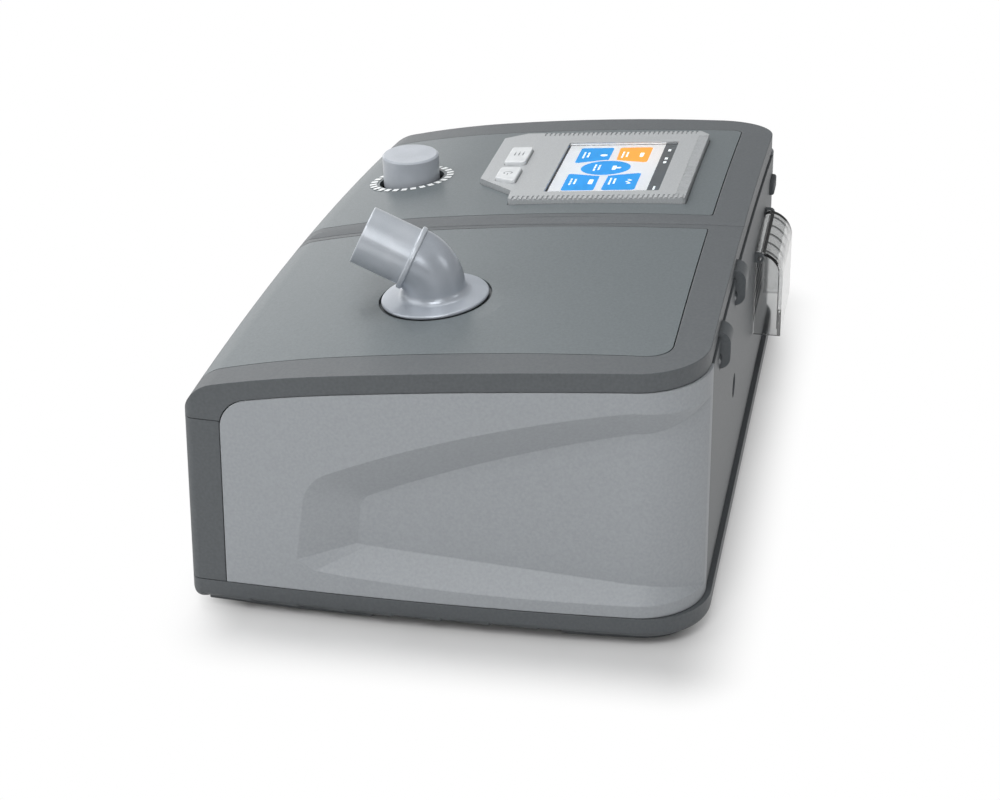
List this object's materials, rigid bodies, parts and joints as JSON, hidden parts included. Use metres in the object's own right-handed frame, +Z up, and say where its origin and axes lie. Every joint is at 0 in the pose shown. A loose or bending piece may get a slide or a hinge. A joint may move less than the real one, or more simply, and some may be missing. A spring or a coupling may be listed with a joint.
{
  "type": "cpap machine",
  "caption": "Bedside airway-pressure machine with a blower unit, heated humidifier under a hinged lid, swivel outlet elbow, knob, keys and a tilted screen.",
  "frame": {"origin": "centre of the bounding box at the underside of the feet", "axes": "+X from the control side to the humidifier side along the body, -Y the user side, +Y the back with hinge and inlet, +Z up"},
  "size_m": [0.29, 0.1982, 0.1358],
  "materials": {
    "shell_plastic": "fine-textured slate grey",
    "inlay_plastic": "fine-textured slate grey",
    "panel_plastic": "fine-textured light grey",
    "silver_plastic": "satin silver-grey",
    "bezel_silver": "satin silver",
    "key_plastic": "satin off-white",
    "pane_clear": "clear",
    "smoke_clear": "smoked clear",
    "screen_panel": "lit panel",
    "board_green": "solder-masked laminate",
    "component_black": "moulded",
    "steel": "ground",
    "screw_steel": "zinc-plated",
    "plate_aluminium": "brushed",
    "insulator_board": "pressed fibre",
    "bay_plastic": "plain white",
    "tub_clear": "clear",
    "silicone": "translucent white",
    "dark_rubber": "matt",
    "case_plastic": "plain dark",
    "fan_plastic": "plain white",
    "motor_metal": "turned",
    "winding_copper": "enamelled copper",
    "foam": "open-cell foam",
    "filter_fabric": "pleated non-woven"
  },
  "bodies": {
    "housing": {"base_tray": "shell_plastic", "front_fascia": "shell_plastic", "rear_panel": "shell_plastic", "right_end_panel": "panel_plastic", "left_end_panel": "panel_plastic", "control_cover": "shell_plastic", "control_inlay": "inlay_plastic", "lid_seal": "silicone", "hinge_pins": "steel", "display_bezel": "bezel_silver", "display_window": "pane_clear", "lcd_module": "screen_panel", "key_switches": "component_black", "control_board": "board_green", "encoder_body": "component_black", "board_screws": "screw_steel", "humidifier_bay": "bay_plastic", "heater_plate": "plate_aluminium", "heater_insulator": "insulator_board", "tub_body": "tub_clear", "tub_base_plate": "steel", "tub_seal": "silicone", "tub_lid": "tub_clear", "port_seal": "silicone", "duct_coupling": "silicone", "blower_lower_case": "case_plastic", "blower_upper_case": "case_plastic", "motor_can": "motor_metal", "motor_stator": "winding_copper", "blower_bearings": "steel", "blower_mounts": "silicone", "air_duct": "silicone", "flow_sensor": "component_black", "silencer_box": "case_plastic", "silencer_cover": "case_plastic", "silencer_foam": "foam", "inlet_filter": "filter_fabric", "dc_jack": "component_black", "port_cap": "dark_rubber", "main_pcb": "board_green", "pcb_components": "component_black", "rubber_feet": "dark_rubber", "base_screws": "screw_steel"},
    "lid": {"humidifier_lid": "shell_plastic", "lid_inlay": "inlay_plastic", "elbow_seal": "dark_rubber"},
    "elbow": {"elbow_body": "silver_plastic", "outlet_cuff": "silver_plastic", "elbow_clip": "steel"},
    "encoder_sleeve": {"encoder_rotor": "component_black"},
    "knob": {"control_knob": "silver_plastic", "encoder_shaft": "steel"},
    "menu_key": {"menu_key": "key_plastic"},
    "power_key": {"power_key": "key_plastic"},
    "fan": {"impeller": "fan_plastic", "motor_rotor": "steel"},
    "hood": {"filter_hood": "smoke_clear"}
  },
  "joints": [
    {"name": "lid_hinge", "type": "hinge", "parent": "housing", "child": "lid", "pos_m": [0.063, 0.08674, 0.095], "axis": [-1, 0, 0], "range_deg": [0, 100]},
    {"name": "elbow_swivel", "type": "hinge", "parent": "lid", "child": "elbow", "pos_m": [0.0785, -0.01936, 0.10339], "axis": [0, -0.1121, 0.9937], "continuous": true},
    {"name": "knob_turn", "type": "hinge", "parent": "housing", "child": "encoder_sleeve", "pos_m": [-0.0605, -0.05616, 0.0895], "axis": [-0.0349, -0.0523, 0.998], "continuous": true},
    {"name": "knob_push", "type": "slide", "parent": "encoder_sleeve", "child": "knob", "axis": [0.0349, 0.0523, -0.998], "range_m": [0, 0.0008], "stiffness_N_per_m": 3000, "springref_m": -0.0005},
    {"name": "menu_key_press", "type": "slide", "parent": "housing", "child": "menu_key", "axis": [0.1047, 0.0823, -0.9911], "range_m": [0, 0.0008], "stiffness_N_per_m": 2000, "springref_m": -0.0005},
    {"name": "power_key_press", "type": "slide", "parent": "housing", "child": "power_key", "axis": [0.1047, 0.0823, -0.9911], "range_m": [0, 0.0008], "stiffness_N_per_m": 2000, "springref_m": -0.0005},
    {"name": "fan_spin", "type": "hinge", "parent": "housing", "child": "fan", "pos_m": [-0.065, -0.00186, 0.055], "axis": [0, 0, 1], "continuous": true},
    {"name": "hood_hinge", "type": "hinge", "parent": "housing", "child": "hood", "pos_m": [-0.0655, 0.08964, 0.073], "axis": [1, 0, 0], "range_deg": [0, 75]}
  ]
}
